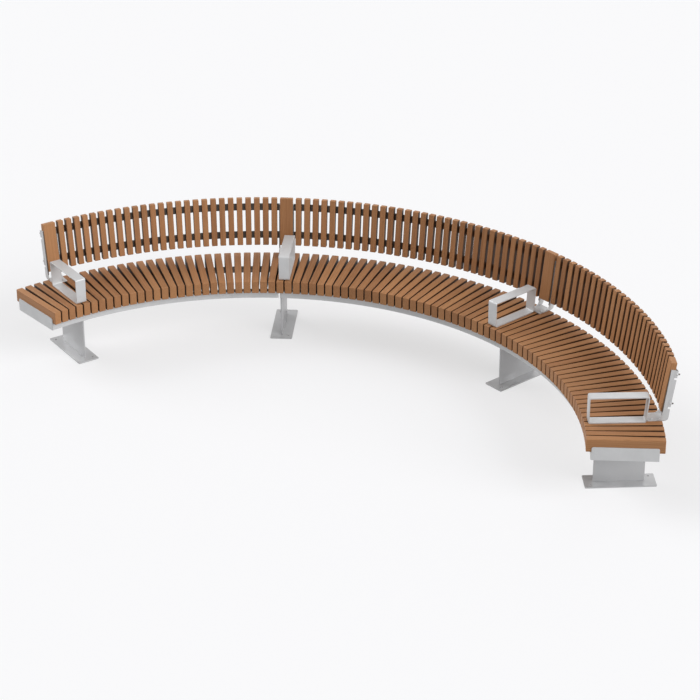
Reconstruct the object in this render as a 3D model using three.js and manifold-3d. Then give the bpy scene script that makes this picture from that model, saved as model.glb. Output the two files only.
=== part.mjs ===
// A curved park bench for the open air: three modules of radial timber slats on steel rails,
// four blade legs with bolted foot plates, four armrest loops and a reclined slatted back.
// Millimetres, +Z up. The sitter faces -Y. The floor is z = 0.
import * as THREE from "three";
import { mergeVertices } from "three/addons/utils/BufferGeometryUtils.js";
import Module from "manifold-3d";

const wasm = await Module();
wasm.setup();

// Driving dimensions: the seat
const seatHeight = 450;
const seatFrontRadius = 2074;
const seatSlatLength = 482;
const seatSlatWidth = 48;
const seatSlatDepth = 89;
const seatSlatChamfer = 5;
const seatSlatFrontGap = 8.6;
const slatsPerEndModule = 29;
const slatsPerMiddleModule = 28;

// Driving dimensions: the two angle-section rails under the slats
const seatRailHeight = 49;
const seatRailFlange = 44;
const seatRailThickness = 5;
const frontRailSetback = 30;
const rearRailSetback = 37;
const rearRailGapOutsideLeg = 12;
const rearRailGapInsideLeg = 36;
const frontRailJointOutsideLeg = 8.5;
const frontRailJointWidth = 9;
const railEndInset = 5;

// Driving dimensions: the legs and their foot plates
const outerLegSlatIndex = 4;
const innerLegSlatIndex = 28;
const armOffsetShare = 0.5;
const legFrontInset = 77;
const legRearInset = 81;
const legThickness = 12;
const legEdgeRadius = 4;
const saddleWidth = 130;
const saddleThickness = 6;
const footFrontProjection = 57;
const footRearProjection = 69;
const footWidth = 152;
const footThickness = 8;
const footCornerRadius = 8;
const anchorEndInset = 38;
const anchorSideInset = 30;
const anchorHoleDiameter = 14;

// Driving dimensions: the plates that close the seat's two ends
const endPlateThickness = 5;
const endPlateFrontInset = 4;
const endPlateRearOverlap = 2;
const endPlateRise = 36;
const endPlateDrop = 4;
const endPlateCornerRadius = 12;

// Driving dimensions: the armrest loops
const armWidth = 73;
const armThickness = 8;
const armHeight = 178;
const armFrontInset = 22.5;
const armRearInset = 102;
const armLean = 16.5;
const armOuterBendRadius = 13;
const armInnerBendRadius = 5;

// Driving dimensions: the reclined back
const backReclineDegrees = 8;
const backSlatLength = 340;
const backSlatWidth = 40;
const backSlatDepth = 40;
const backSlatChamfer = 4;
const backRise = 62;
const backOverSeat = 15;
const boardWidth = 90;
const boardToSlatGap = 19;
const slatsPerEndBay = 26;
const slatsPerMiddleBay = 32;
const backRailHeight = 50;
const backRailThickness = 5;
const lowerRailFromBottom = 41;
const upperRailFromTop = 47;

// Driving dimensions: the folded brackets that carry the boards
const bracketThickness = 6;
const bracketFrontInset = 9;
const bracketDepth = 54;
const bracketTopAboveRail = 1;
const bracketNotchBelowRail = 15;
const bracketToArmGap = 8;
const bracketCornerRadius = 3;
const bracketElbowRise = 24;
const bracketFilletReach = 34;
const bracketFilletRise = 40;

// Driving dimensions: the bolts that hold each bracket down through two gaps between slats
const bracketBoltSetback = 66;
const bracketHoleDiameter = 11;
const bracketBoltShankDiameter = 10;
const bracketBoltHeadDiameter = 15;
const bracketBoltHeadHeight = 5;

// Driving dimensions: the clamp washers, nuts and studs behind the back rails
const clampWasherDiameter = 40;
const clampWasherThickness = 4;
const clampNutDiameter = 18;
const clampNutHeight = 8;
const clampStudDiameter = 10;
const clampStudLength = 6;

// Clearances and counts
const clearance = 0.3;
const fuseBite = 0.5;
const curveSegments = 4;
const roundSegments = 10;

// Places worked out from the driving dimensions
const slatCount = 2 * slatsPerEndModule + slatsPerMiddleModule;
const lastSlat = slatCount - 1;
const seatSlatFrontPitch = seatSlatWidth + seatSlatFrontGap;
const seatPitchAngle = seatSlatFrontPitch / seatFrontRadius;
const seatRearRadius = seatFrontRadius + seatSlatLength;
const slatUnderside = seatHeight - seatSlatDepth;
const railTop = slatUnderside - clearance;
const railFlangeUnderside = railTop - seatRailThickness;
const railBottom = railTop - seatRailHeight;
const frontRailRadius = seatFrontRadius + frontRailSetback;
const rearRailRadius = seatRearRadius - rearRailSetback;
const legDepth = seatSlatLength - legFrontInset - legRearInset;
const legCentreRadius = seatFrontRadius + legFrontInset + legDepth / 2;
const footLength = footFrontProjection + legDepth + footRearProjection;
const footCentreRadius = legCentreRadius + (footRearProjection - footFrontProjection) / 2;
const armFrontRadius = seatFrontRadius + armFrontInset;
const armRearRadius = seatRearRadius - armRearInset;
const backFootRadius = seatRearRadius - backOverSeat;
const backFootHeight = seatHeight + backRise;
const recline = THREE.MathUtils.degToRad(backReclineDegrees);
const lowerRailBottom = lowerRailFromBottom;
const upperRailBottom = backSlatLength - upperRailFromTop - backRailHeight;
const boardSagitta = sagitta(boardWidth, backFootRadius);
const boardToSlatPitch = boardWidth / 2 + boardToSlatGap + backSlatWidth / 2;
const railSagitta = sagitta(boardToSlatPitch, backFootRadius);
const lowerRailDepth = backSlatDepth - fuseBite;
const upperRailDepth = backSlatDepth + clearance + railSagitta;
const boardDepth = lowerRailDepth - boardSagitta - clearance;

const timber = () => new THREE.MeshStandardMaterial({ color: 0xa9714a, roughness: 0.62, metalness: 0 });
const satinSteel = () => new THREE.MeshStandardMaterial({ color: 0xb4b4b2, roughness: 0.42, metalness: 1 });
const darkSteel = () => new THREE.MeshStandardMaterial({ color: 0x3d3a37, roughness: 0.6, metalness: 0.4 });

// How far a circle of the given radius leaves a chord of the given length.
function sagitta(chord, radius) {
  return chord ** 2 / (8 * radius);
}

// The angle of seat slat number `index`, counted from the left end. Zero is the bench's middle.
function slatAngle(index) {
  return (index - lastSlat / 2) * seatPitchAngle;
}

// The radius and height of a point `up` the back's slope and `behind` its front face.
function reclined(up, behind) {
  return new THREE.Vector2(
    backFootRadius + up * Math.sin(recline) + behind * Math.cos(recline),
    backFootHeight + up * Math.cos(recline) - behind * Math.sin(recline),
  );
}

// A closed geometry as a solid for joining and cutting.
function solidOf(geometry) {
  const bare = geometry.clone();
  bare.deleteAttribute("normal");
  bare.deleteAttribute("uv");
  const merged = mergeVertices(bare, 1e-3);
  const mesh = new wasm.Mesh({
    numProp: 3,
    vertProperties: merged.attributes.position.array,
    triVerts: new Uint32Array(merged.index.array),
  });
  return new wasm.Manifold(mesh);
}

// A solid back as a geometry with flat faces.
function geometryOf(solid) {
  const mesh = solid.getMesh();
  const geometry = new THREE.BufferGeometry();
  geometry.setAttribute("position", new THREE.BufferAttribute(mesh.vertProperties, 3));
  geometry.setIndex(new THREE.BufferAttribute(mesh.triVerts, 1));
  const flat = geometry.toNonIndexed();
  flat.computeVertexNormals();
  return flat;
}

// Several overlapping geometries as one.
function fuse(geometries) {
  return geometryOf(geometries.map(solidOf).reduce((whole, piece) => whole.add(piece)));
}

// A polygon whose corners are rounded by the given radius, as a shape.
function roundedPolygon(points, radius) {
  const shape = new THREE.Shape();
  points.forEach((corner, i) => {
    const before = points[(i + points.length - 1) % points.length];
    const after = points[(i + 1) % points.length];
    const enter = corner.clone().add(before.clone().sub(corner).setLength(radius));
    const leave = corner.clone().add(after.clone().sub(corner).setLength(radius));
    if (i === 0) shape.moveTo(enter.x, enter.y);
    else shape.lineTo(enter.x, enter.y);
    shape.quadraticCurveTo(corner.x, corner.y, leave.x, leave.y);
  });
  shape.closePath();
  return shape;
}

// The corners of a rectangle centred on the origin.
function rectangle(width, height) {
  const x = width / 2;
  const y = height / 2;
  return [
    new THREE.Vector2(-x, -y),
    new THREE.Vector2(x, -y),
    new THREE.Vector2(x, y),
    new THREE.Vector2(-x, y),
  ];
}

// A timber's section: its show face lies on y = 0 between two eased edges, its back at y = -depth.
function planedSection(width, depth, chamfer) {
  const x = width / 2;
  return new THREE.Shape([
    new THREE.Vector2(-x, -depth),
    new THREE.Vector2(x, -depth),
    new THREE.Vector2(x, -chamfer),
    new THREE.Vector2(x - chamfer, 0),
    new THREE.Vector2(chamfer - x, 0),
    new THREE.Vector2(-x, -chamfer),
  ]);
}

function extrude(shape, depth) {
  return new THREE.ExtrudeGeometry(shape, { depth, bevelEnabled: false, curveSegments });
}

// A shape drawn in radius and height, given a width across the radius and centred on it.
function extrudeAcross(shape, width) {
  const across = new THREE.Matrix4().makeBasis(
    new THREE.Vector3(0, 1, 0),
    new THREE.Vector3(0, 0, 1),
    new THREE.Vector3(1, 0, 0),
  );
  return extrude(shape, width).translate(0, 0, -width / 2).applyMatrix4(across);
}

// A box from the given widths across, along the radius and upwards, placed by its low corner.
function block(width, length, height, x, radius, z) {
  return new THREE.BoxGeometry(width, length, height).translate(
    x + width / 2,
    radius + length / 2,
    z + height / 2,
  );
}

// A counter-clockwise profile of radius and height swept round the bench's centre.
function sweep(profile, fromAngle, toAngle, steps) {
  const positions = [];
  const indices = [];
  const sides = profile.length;
  for (let i = 0; i <= steps; i++) {
    const angle = THREE.MathUtils.lerp(fromAngle, toAngle, i / steps);
    for (const point of profile) {
      positions.push(point.x * Math.sin(angle), point.x * Math.cos(angle), point.y);
    }
  }
  for (let i = 0; i < steps; i++) {
    for (let j = 0; j < sides; j++) {
      const a = i * sides + j;
      const b = i * sides + ((j + 1) % sides);
      indices.push(a, b, b + sides, a, b + sides, a + sides);
    }
  }
  for (const [a, b, c] of THREE.ShapeUtils.triangulateShape(profile, [])) {
    indices.push(c, b, a);
    indices.push(a + steps * sides, b + steps * sides, c + steps * sides);
  }
  const geometry = new THREE.BufferGeometry();
  geometry.setAttribute("position", new THREE.Float32BufferAttribute(positions, 3));
  geometry.setIndex(indices);
  const flat = geometry.toNonIndexed();
  flat.computeVertexNormals();
  return flat;
}

function named(name, geometry, material) {
  const mesh = new THREE.Mesh(geometry, material);
  mesh.name = name;
  return mesh;
}

// A seat slat standing on edge along the radius.
function seatSlat() {
  return extrude(planedSection(seatSlatWidth, seatSlatDepth, seatSlatChamfer), seatSlatLength)
    .rotateX(Math.PI / 2)
    .translate(0, seatRearRadius, seatHeight);
}

// The front rail's section: an upright web in front and a flange behind it, under the slats.
function frontRailProfile() {
  const web = frontRailRadius;
  return [
    new THREE.Vector2(web, railBottom),
    new THREE.Vector2(web + seatRailThickness, railBottom),
    new THREE.Vector2(web + seatRailThickness, railFlangeUnderside),
    new THREE.Vector2(web + seatRailFlange, railFlangeUnderside),
    new THREE.Vector2(web + seatRailFlange, railTop),
    new THREE.Vector2(web, railTop),
  ];
}

// The rear rail's section mirrors the front one and reaches into the slats that it carries.
function rearRailProfile() {
  const web = rearRailRadius;
  const top = slatUnderside + fuseBite;
  return [
    new THREE.Vector2(web - seatRailThickness, railBottom),
    new THREE.Vector2(web, railBottom),
    new THREE.Vector2(web, top),
    new THREE.Vector2(web - seatRailFlange, top),
    new THREE.Vector2(web - seatRailFlange, railFlangeUnderside),
    new THREE.Vector2(web - seatRailThickness, railFlangeUnderside),
  ];
}

// The three modules: their slats, and the angles between which the rear and front rails run. The
// front rails meet just outside the inner legs.
function seatModules() {
  const outerEnd = slatAngle(lastSlat) + (seatSlatWidth / 2 - railEndInset) / rearRailRadius;
  const leg = slatAngle(lastSlat - innerLegSlatIndex);
  const rearOut = leg + rearRailGapOutsideLeg / frontRailRadius;
  const rearIn = leg - rearRailGapInsideLeg / frontRailRadius;
  const joint = leg + frontRailJointOutsideLeg / frontRailRadius;
  const half = frontRailJointWidth / 2 / frontRailRadius;
  const ends = slatsPerEndModule;
  const middle = slatsPerMiddleModule;
  const module = (side, first, count, rear, front) => ({ side, first, count, rear, front });
  return [
    module("left", 0, ends, [-outerEnd, -rearOut], [-outerEnd, -joint - half]),
    module("middle", ends, middle, [-rearIn, rearIn], [half - joint, joint - half]),
    module("right", ends + middle, ends, [rearOut, outerEnd], [joint + half, outerEnd]),
  ];
}

// One module's slats on their rear rail.
function seatSlats(module) {
  const pieces = [sweep(rearRailProfile(), ...module.rear, module.count)];
  for (let i = 0; i < module.count; i++) {
    pieces.push(seatSlat().rotateZ(-slatAngle(module.first + i)));
  }
  return named(`seat_slats_${module.side}`, fuse(pieces), timber());
}

function frontRail(module) {
  const geometry = sweep(frontRailProfile(), ...module.front, module.count);
  return named(`front_rail_${module.side}`, geometry, satinSteel());
}

// The plate beside an end slat, with rounded top corners, drawn for the right end.
function endPlateGeometry() {
  const front = frontRailRadius + seatRailThickness + endPlateFrontInset;
  const rear = rearRailRadius + endPlateRearOverlap;
  const bottom = railBottom - endPlateDrop;
  const top = slatUnderside + endPlateRise;
  const bend = endPlateCornerRadius;
  const face = new THREE.Shape();
  face.moveTo(front, bottom);
  face.lineTo(rear, bottom);
  face.absarc(rear - bend, top - bend, bend, 0, Math.PI / 2);
  face.absarc(front + bend, top - bend, bend, Math.PI / 2, Math.PI);
  face.closePath();
  const beside = seatSlatWidth / 2 + clearance + endPlateThickness / 2;
  return extrudeAcross(face, endPlateThickness).translate(beside, 0, 0);
}

function endPlates() {
  const right = endPlateGeometry();
  const left = right.clone().translate(-seatSlatWidth - 2 * clearance - endPlateThickness, 0, 0);
  const leftMesh = named("end_plate_left", left, satinSteel());
  const rightMesh = named("end_plate_right", right, satinSteel());
  leftMesh.rotation.z = -slatAngle(0);
  rightMesh.rotation.z = -slatAngle(lastSlat);
  return [leftMesh, rightMesh];
}

// A blade leg with rounded edges, and the saddle plate on it that the rails rest on.
function legGeometry() {
  const bottom = footThickness + clearance;
  const saddleTop = railFlangeUnderside - clearance;
  const saddleBottom = saddleTop - saddleThickness;
  const blade = extrude(
    roundedPolygon(rectangle(legThickness, legDepth), legEdgeRadius),
    saddleBottom + fuseBite - bottom,
  ).translate(0, legCentreRadius, bottom);
  const bow = sagitta(saddleWidth, rearRailRadius) + sagitta(seatSlatFrontPitch, seatFrontRadius);
  const saddleFront = frontRailRadius + seatRailThickness + clearance;
  const saddleRear = rearRailRadius - seatRailThickness - clearance - bow;
  const saddle = block(
    saddleWidth,
    saddleRear - saddleFront,
    saddleThickness,
    -saddleWidth / 2,
    saddleFront,
    saddleBottom,
  );
  return fuse([blade, saddle]);
}

// The two anchor holes of a foot plate: at the back on the left and in front on the right.
function anchorPlaces() {
  const x = footWidth / 2 - anchorSideInset;
  const y = footLength / 2 - anchorEndInset;
  return [new THREE.Vector2(-x, y), new THREE.Vector2(x, -y)];
}

function footGeometry() {
  const plate = roundedPolygon(rectangle(footWidth, footLength), footCornerRadius);
  for (const place of anchorPlaces()) {
    const hole = new THREE.Path();
    hole.absarc(place.x, place.y, anchorHoleDiameter / 2, 0, 2 * Math.PI, true);
    plate.holes.push(hole);
  }
  return extrude(plate, footThickness).translate(0, footCentreRadius, 0);
}

// A body turned round an upright axis, from pairs of radius and height.
function turned(pairs) {
  const points = pairs.map(([radius, height]) => new THREE.Vector2(radius, height));
  return new THREE.LatheGeometry(points, roundSegments);
}

// An armrest: a closed loop of flat bar with bent corners and a leaning rear upright.
function armGeometry() {
  const front = armFrontRadius;
  const bottom = seatHeight + clearance;
  const top = bottom + armHeight;
  const rearBottom = armRearRadius;
  const rearTop = armRearRadius + armLean;
  const loop = roundedPolygon(
    [
      new THREE.Vector2(front, bottom),
      new THREE.Vector2(rearBottom, bottom),
      new THREE.Vector2(rearTop, top),
      new THREE.Vector2(front, top),
    ],
    armOuterBendRadius,
  );
  const inside = roundedPolygon(
    [
      new THREE.Vector2(front + armThickness, bottom + armThickness),
      new THREE.Vector2(front + armThickness, top - armThickness),
      new THREE.Vector2(rearTop - armThickness, top - armThickness),
      new THREE.Vector2(rearBottom - armThickness, bottom + armThickness),
    ],
    armInnerBendRadius,
  );
  loop.holes.push(inside);
  return extrudeAcross(loop, armWidth);
}

// The outline of a bracket's side: it rises from the seat behind the slats' ends, follows the
// board's slope and is notched from behind for the two back rails and a space under each.
function bracketSide() {
  const footBottom = seatHeight + clearance;
  const footTop = footBottom + bracketThickness;
  const railReach = boardSagitta + clearance;
  const notch = backSlatDepth - fuseBite - railReach - clearance;
  const lowerFrom = lowerRailBottom - bracketNotchBelowRail;
  const lowerTo = lowerRailBottom + backRailHeight + clearance;
  const upperFrom = upperRailBottom - bracketNotchBelowRail;
  const top = upperRailBottom + backRailHeight + bracketTopAboveRail;
  const elbow = reclined(bracketElbowRise - backRise, bracketDepth);
  const filletTop = reclined(bracketFilletRise - backRise, bracketFrontInset);
  const side = new THREE.Shape();
  side.moveTo(filletTop.x - bracketFilletReach, footBottom);
  side.lineTo(elbow.x - bracketElbowRise, footBottom);
  side.quadraticCurveTo(elbow.x, footBottom, elbow.x, elbow.y);
  const back = [
    reclined(lowerFrom, bracketDepth),
    reclined(lowerFrom, notch),
    reclined(lowerTo, notch),
    reclined(lowerTo, bracketDepth),
    reclined(upperFrom, bracketDepth),
    reclined(upperFrom, notch),
    reclined(top, notch),
    reclined(top, bracketFrontInset),
    filletTop,
  ];
  for (const point of back) side.lineTo(point.x, point.y);
  side.quadraticCurveTo(filletTop.x, footTop, filletTop.x - bracketFilletReach, footTop);
  side.closePath();
  return side;
}

// The two bolt places on a bracket, each over the gap beside the slat that the bracket is on.
function bracketBoltPlaces() {
  const y = seatRearRadius - bracketBoltSetback;
  const x = (seatPitchAngle / 2) * y;
  return [
    { side: "a", x: -x, y },
    { side: "b", x, y },
  ];
}

// A bolt whose head sits on the bracket's foot and whose shank ends over the rear rail's flange.
function bracketBoltGeometry(place) {
  const under = seatHeight + clearance + bracketThickness + clearance;
  const tip = slatUnderside + fuseBite + clearance;
  return turned([
    [0, tip],
    [bracketBoltShankDiameter / 2, tip],
    [bracketBoltShankDiameter / 2, under],
    [bracketBoltHeadDiameter / 2, under],
    [bracketBoltHeadDiameter / 2, under + bracketBoltHeadHeight],
    [0, under + bracketBoltHeadHeight],
  ])
    .rotateX(Math.PI / 2)
    .translate(place.x, place.y, 0);
}

// A bracket: a foot plate on the slats and a side on each edge of the wide board.
function bracketGeometry() {
  const inner = boardWidth / 2 + clearance;
  const offset = inner + bracketThickness / 2;
  const footFront = armRearRadius + bracketToArmGap;
  const elbow = reclined(bracketElbowRise - backRise, bracketDepth);
  const footRear = elbow.x - bracketElbowRise;
  const width = 2 * (inner + bracketThickness);
  const footBottom = seatHeight + clearance;
  const foot = roundedPolygon(rectangle(width, footRear - footFront), bracketCornerRadius);
  const middle = (footFront + footRear) / 2;
  for (const place of bracketBoltPlaces()) {
    const hole = new THREE.Path();
    hole.absarc(place.x, place.y - middle, bracketHoleDiameter / 2, 0, 2 * Math.PI, true);
    foot.holes.push(hole);
  }
  return fuse([
    extrude(foot, bracketThickness).translate(0, middle, footBottom),
    extrudeAcross(bracketSide(), bracketThickness).translate(-offset, 0, 0),
    extrudeAcross(bracketSide(), bracketThickness).translate(offset, 0, 0),
  ]);
}

// A planed upright timber of the back, leaning on the slope with its show face to the sitter.
function uprightTimber(width, depth) {
  return extrude(planedSection(width, depth, backSlatChamfer), backSlatLength)
    .rotateZ(Math.PI)
    .rotateX(-recline)
    .translate(0, backFootRadius, backFootHeight);
}

// The section of a back rail whose front face lies `behind` the slats' front faces.
function backRailProfile(bottom, behind) {
  return [
    reclined(bottom, behind),
    reclined(bottom, behind + backRailThickness),
    reclined(bottom + backRailHeight, behind + backRailThickness),
    reclined(bottom + backRailHeight, behind),
  ];
}

// The three bays of the back, between the wide boards.
function backBays() {
  const outer = slatAngle(lastSlat - outerLegSlatIndex);
  const inner = slatAngle(lastSlat - innerLegSlatIndex);
  const past = (boardWidth / 2 + bracketThickness) / backFootRadius;
  const joint = clearance / 2 / backFootRadius;
  const end = slatsPerEndBay;
  const middle = slatsPerMiddleBay;
  const bay = (side, count, from, to, railFrom, railTo) => ({ side, count, from, to, railFrom, railTo });
  return [
    bay("left", end, -outer, -inner, -outer - past, -inner - joint),
    bay("middle", middle, -inner, inner, joint - inner, inner - joint),
    bay("right", end, inner, outer, inner + joint, outer + past),
  ];
}

// One bay's slats on their lower rail.
function backSlats(bay) {
  const edge = boardToSlatPitch / backFootRadius;
  const steps = bay.count + 2;
  const lower = backRailProfile(lowerRailBottom, lowerRailDepth);
  const pieces = [sweep(lower, bay.railFrom, bay.railTo, steps)];
  for (let i = 0; i < bay.count; i++) {
    const angle = THREE.MathUtils.lerp(bay.from + edge, bay.to - edge, i / (bay.count - 1));
    pieces.push(uprightTimber(backSlatWidth, backSlatDepth).rotateZ(-angle));
  }
  return named(`back_slats_${bay.side}`, fuse(pieces), timber());
}

function upperBackRail(bay) {
  const steps = bay.count + 2;
  const profile = backRailProfile(upperRailBottom, upperRailDepth);
  const geometry = sweep(profile, bay.railFrom, bay.railTo, steps);
  return named(`upper_back_rail_${bay.side}`, geometry, darkSteel());
}

// A washer, nut and stud end behind a rail at the given height and depth on the slope.
function clampGeometry(up, behind) {
  const nut = clampWasherThickness + clampNutHeight;
  const stud = nut + clampStudLength;
  const seat = reclined(up, behind + clearance);
  return turned([
    [0, 0],
    [clampWasherDiameter / 2, 0],
    [clampWasherDiameter / 2, clampWasherThickness],
    [clampNutDiameter / 2, clampWasherThickness],
    [clampNutDiameter / 2, nut],
    [clampStudDiameter / 2, nut],
    [clampStudDiameter / 2, stud],
    [0, stud],
  ])
    .rotateX(-recline)
    .translate(0, seat.x, seat.y);
}

// Everything at one leg that turns with it.
function support(place, angle) {
  const group = new THREE.Group();
  group.rotation.z = -angle;
  const lowerBehind = lowerRailDepth + backRailThickness;
  const upperBehind = upperRailDepth + backRailThickness;
  group.add(
    named(`foot_plate_${place}`, footGeometry(), satinSteel()),
    named(`leg_${place}`, legGeometry(), satinSteel()),
    named(`back_bracket_${place}`, bracketGeometry(), satinSteel()),
    named(`back_board_${place}`, uprightTimber(boardWidth, boardDepth), timber()),
    named(
      `rail_clamp_${place}_lower`,
      clampGeometry(lowerRailBottom + backRailHeight / 2, lowerBehind),
      darkSteel(),
    ),
    named(
      `rail_clamp_${place}_upper`,
      clampGeometry(upperRailBottom + backRailHeight / 2, upperBehind),
      darkSteel(),
    ),
  );
  for (const bolt of bracketBoltPlaces()) {
    group.add(named(`bracket_bolt_${place}_${bolt.side}`, bracketBoltGeometry(bolt), satinSteel()));
  }
  return group;
}

// The armrests sit over the slat gap just outside each outer leg and just inside each inner one.
function armrest(place, angle) {
  const mesh = named(`armrest_${place}`, armGeometry(), satinSteel());
  mesh.rotation.z = -angle;
  return mesh;
}

const bench = new THREE.Group();
for (const module of seatModules()) {
  bench.add(seatSlats(module), frontRail(module));
}
for (const bay of backBays()) {
  bench.add(backSlats(bay), upperBackRail(bay));
}
bench.add(...endPlates());
const places = [
  { name: "left_outer", leg: outerLegSlatIndex, toArm: -armOffsetShare },
  { name: "left_inner", leg: innerLegSlatIndex, toArm: armOffsetShare },
  { name: "right_inner", leg: lastSlat - innerLegSlatIndex, toArm: -armOffsetShare },
  { name: "right_outer", leg: lastSlat - outerLegSlatIndex, toArm: armOffsetShare },
];
for (const place of places) {
  bench.add(support(place.name, slatAngle(place.leg)));
  bench.add(armrest(place.name, slatAngle(place.leg + place.toArm)));
}

// The origin is the middle of the bench's footprint, on the floor.
const bounds = new THREE.Box3().setFromObject(bench);
bench.position.y = -(bounds.min.y + bounds.max.y) / 2;
const scene = new THREE.Group();
scene.add(bench);

export default scene;
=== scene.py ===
"""A curved slatted park bench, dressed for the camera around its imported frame.

Everything is in metres, with +Z up and the floor at z = 0. The sitter faces -Y. Most pieces are
placed at a station: an angle round the centre of the bench's curve, measured from +Y towards +X.
A station's own frame has X across the radius, Y outwards along it and Z up.
"""

import logging
import math
import random
from dataclasses import dataclass, field
from enum import Enum
from typing import Sequence

import bmesh
import bpy
import numpy as np
from mathutils import Matrix, Vector


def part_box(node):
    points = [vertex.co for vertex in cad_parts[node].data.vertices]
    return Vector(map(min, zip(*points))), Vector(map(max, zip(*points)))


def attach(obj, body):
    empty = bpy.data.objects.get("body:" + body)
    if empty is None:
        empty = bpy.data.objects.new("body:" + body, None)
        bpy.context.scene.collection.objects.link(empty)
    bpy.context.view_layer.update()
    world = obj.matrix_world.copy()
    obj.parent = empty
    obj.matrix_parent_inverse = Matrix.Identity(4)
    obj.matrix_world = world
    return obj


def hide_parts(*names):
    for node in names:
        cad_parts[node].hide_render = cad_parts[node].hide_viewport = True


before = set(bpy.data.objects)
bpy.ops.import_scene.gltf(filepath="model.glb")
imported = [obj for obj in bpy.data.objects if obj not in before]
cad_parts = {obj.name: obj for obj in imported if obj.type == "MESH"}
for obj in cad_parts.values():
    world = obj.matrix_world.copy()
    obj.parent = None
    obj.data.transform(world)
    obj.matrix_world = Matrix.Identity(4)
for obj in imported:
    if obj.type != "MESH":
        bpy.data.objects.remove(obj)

LOG = logging.getLogger("curved_bench")
BODY = "root"
SEED = 11

Triple = tuple[float, float, float]
Colour = Triple
Span = tuple[float, float]
Profile = Sequence[Span]

# Blender's noise stays within this span nearly everywhere.
NOISE_SPAN: Span = (0.3, 0.7)
NOISE_ROUGHNESS = 0.6
WHOLE_SPAN: Span = (0.0, 1.0)
# The width of one band of Blender's wave texture at a scale of 1.
WAVE_BAND = 0.314
# A Mix node has sockets for every kind of value. These are its two colours and their mixture.
MIX_FIRST, MIX_SECOND, MIX_RESULT = 6, 7, 2
# The faces in a rounded corner and in a narrow rounding.
CORNER_SEGMENTS = 6
NARROW_SEGMENTS = 3
# Vertices closer than this are one.
SAME_PLACE = 1e-6

# From a timber's own frame, with its length along X, to one in which it stands on end.
ON_END = Matrix(((0.0, 1.0, 0.0), (0.0, 0.0, 1.0), (1.0, 0.0, 0.0))).to_4x4()
# From a turned fastener's own frame, with its axis along Z, to one in which it points backwards.
POINTING_BACK = Matrix.Rotation(-math.pi / 2, 4, "X")


class Side(Enum):
    """The three modules of the bench, from the left end to the right."""

    LEFT = "left"
    MIDDLE = "middle"
    RIGHT = "right"


class Stand(Enum):
    """The four legs from left to right: name, seat slat above, slats from there to the armrest."""

    LEFT_OUTER = ("left_outer", 4, -0.5)
    LEFT_INNER = ("left_inner", 28, 0.5)
    RIGHT_INNER = ("right_inner", 57, -0.5)
    RIGHT_OUTER = ("right_outer", 81, 0.5)

    @property
    def label(self) -> str:
        """The leg's name in the frame's nodes."""
        return self.value[0]

    @property
    def slat(self) -> int:
        """The number of the seat slat above the leg."""
        return self.value[1]

    @property
    def arm_slat(self) -> float:
        """The place of the armrest, counted in seat slats."""
        return self.value[1] + self.value[2]


class Slot(Enum):
    """The material slots."""

    TIMBER = "timber"
    SATIN_STEEL = "satin_steel"
    DARK_STEEL = "dark_steel"


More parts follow.
